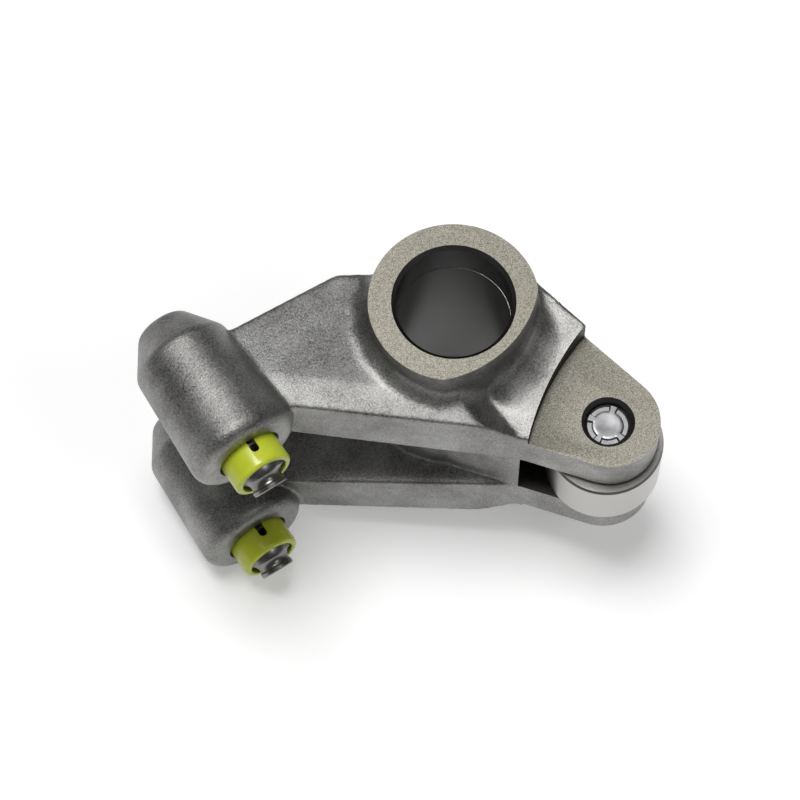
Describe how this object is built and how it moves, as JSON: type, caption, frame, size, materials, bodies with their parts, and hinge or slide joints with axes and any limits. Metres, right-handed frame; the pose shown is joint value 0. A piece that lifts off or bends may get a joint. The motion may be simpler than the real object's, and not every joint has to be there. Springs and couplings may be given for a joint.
{
  "type": "roller rocker arm",
  "caption": "Forked rocker arm with a shaft bore, a needle-bearing cam roller and twin hydraulic lash adjusters with swivel feet.",
  "frame": {"origin": "centre of the shaft bore, halfway along it", "axes": "+Z along the shaft bore; the lash adjusters run along Y and press towards -Y; the roller lies towards +X and -Y"},
  "size_m": [0.0762, 0.0652, 0.0596],
  "materials": {
    "forged_steel": "shot-blasted forging, dark satin, machined faces lighter",
    "roller_steel": "ground",
    "pin_steel": "polished, staked ends",
    "needle_steel": "polished",
    "adjuster_steel": "ground, lightly oiled",
    "spring_steel": "drawn wire",
    "cap_plastic": "moulded, glossy",
    "foot_steel": "polished"
  },
  "bodies": {
    "root": {"rocker_body": "forged_steel", "roller_pin": "pin_steel", "near_support_disc": "adjuster_steel", "near_plunger": "adjuster_steel", "near_ball_cage": "adjuster_steel", "near_ball_spring": "spring_steel", "far_support_disc": "adjuster_steel", "far_plunger": "adjuster_steel", "far_ball_cage": "adjuster_steel", "far_ball_spring": "spring_steel"},
    "roller_body": {"roller": "roller_steel"},
    "needle_body": {"needle_rollers": "needle_steel"},
    "near_check_valve": {"near_check_ball": "adjuster_steel"},
    "near_adjuster": {"near_housing": "adjuster_steel", "near_retaining_clip": "spring_steel", "near_plunger_spring": "spring_steel"},
    "near_cap": {"near_retaining_cap": "cap_plastic"},
    "near_foot": {"near_swivel_foot": "foot_steel"},
    "far_check_valve": {"far_check_ball": "adjuster_steel"},
    "far_adjuster": {"far_housing": "adjuster_steel", "far_retaining_clip": "spring_steel", "far_plunger_spring": "spring_steel"},
    "far_cap": {"far_retaining_cap": "cap_plastic"},
    "far_foot": {"far_swivel_foot": "foot_steel"}
  },
  "joints": [
    {"name": "roller_spin", "type": "hinge", "parent": "root", "child": "roller_body", "pos_m": [0.0134, -0.0283, 0], "axis": [0, 0, 1], "continuous": true},
    {"name": "needle_orbit", "type": "hinge", "parent": "root", "child": "needle_body", "pos_m": [0.0134, -0.0283, 0], "axis": [0, 0, 1], "continuous": true},
    {"name": "near_adjuster_slide", "type": "slide", "parent": "root", "child": "near_adjuster", "axis": [0, 1, 0], "range_m": [0, 0.002], "stiffness_N_per_m": 1000, "springref_m": -0.004, "deforming": ["near_plunger_spring"]},
    {"name": "near_cap_spin", "type": "hinge", "parent": "near_adjuster", "child": "near_cap", "pos_m": [-0.0426, -0.0043, 0.0198], "axis": [0, 1, 0], "continuous": true},
    {"name": "near_foot_tilt", "type": "hinge", "parent": "near_cap", "child": "near_foot", "pos_m": [-0.0426, -0.0043, 0.0198], "axis": [-1, 0, 0], "range_deg": [0, 40]},
    {"name": "near_check_ball_lift", "type": "slide", "parent": "root", "child": "near_check_valve", "axis": [0, -1, 0], "range_m": [0, 0.0003], "stiffness_N_per_m": 100, "springref_m": -0.001, "deforming": ["near_ball_spring"]},
    {"name": "far_adjuster_slide", "type": "slide", "parent": "root", "child": "far_adjuster", "axis": [0, 1, 0], "range_m": [0, 0.002], "stiffness_N_per_m": 1000, "springref_m": -0.004, "deforming": ["far_plunger_spring"]},
    {"name": "far_cap_spin", "type": "hinge", "parent": "far_adjuster", "child": "far_cap", "pos_m": [-0.0426, -0.0043, -0.0198], "axis": [0, 1, 0], "continuous": true},
    {"name": "far_foot_tilt", "type": "hinge", "parent": "far_cap", "child": "far_foot", "pos_m": [-0.0426, -0.0043, -0.0198], "axis": [-1, 0, 0], "range_deg": [0, 40]},
    {"name": "far_check_ball_lift", "type": "slide", "parent": "root", "child": "far_check_valve", "axis": [0, -1, 0], "range_m": [0, 0.0003], "stiffness_N_per_m": 100, "springref_m": -0.001, "deforming": ["far_ball_spring"]}
  ],
  "couplings": [
    {"joint": "needle_orbit", "follows": "roller_spin", "ratio": 0.585}
  ]
}
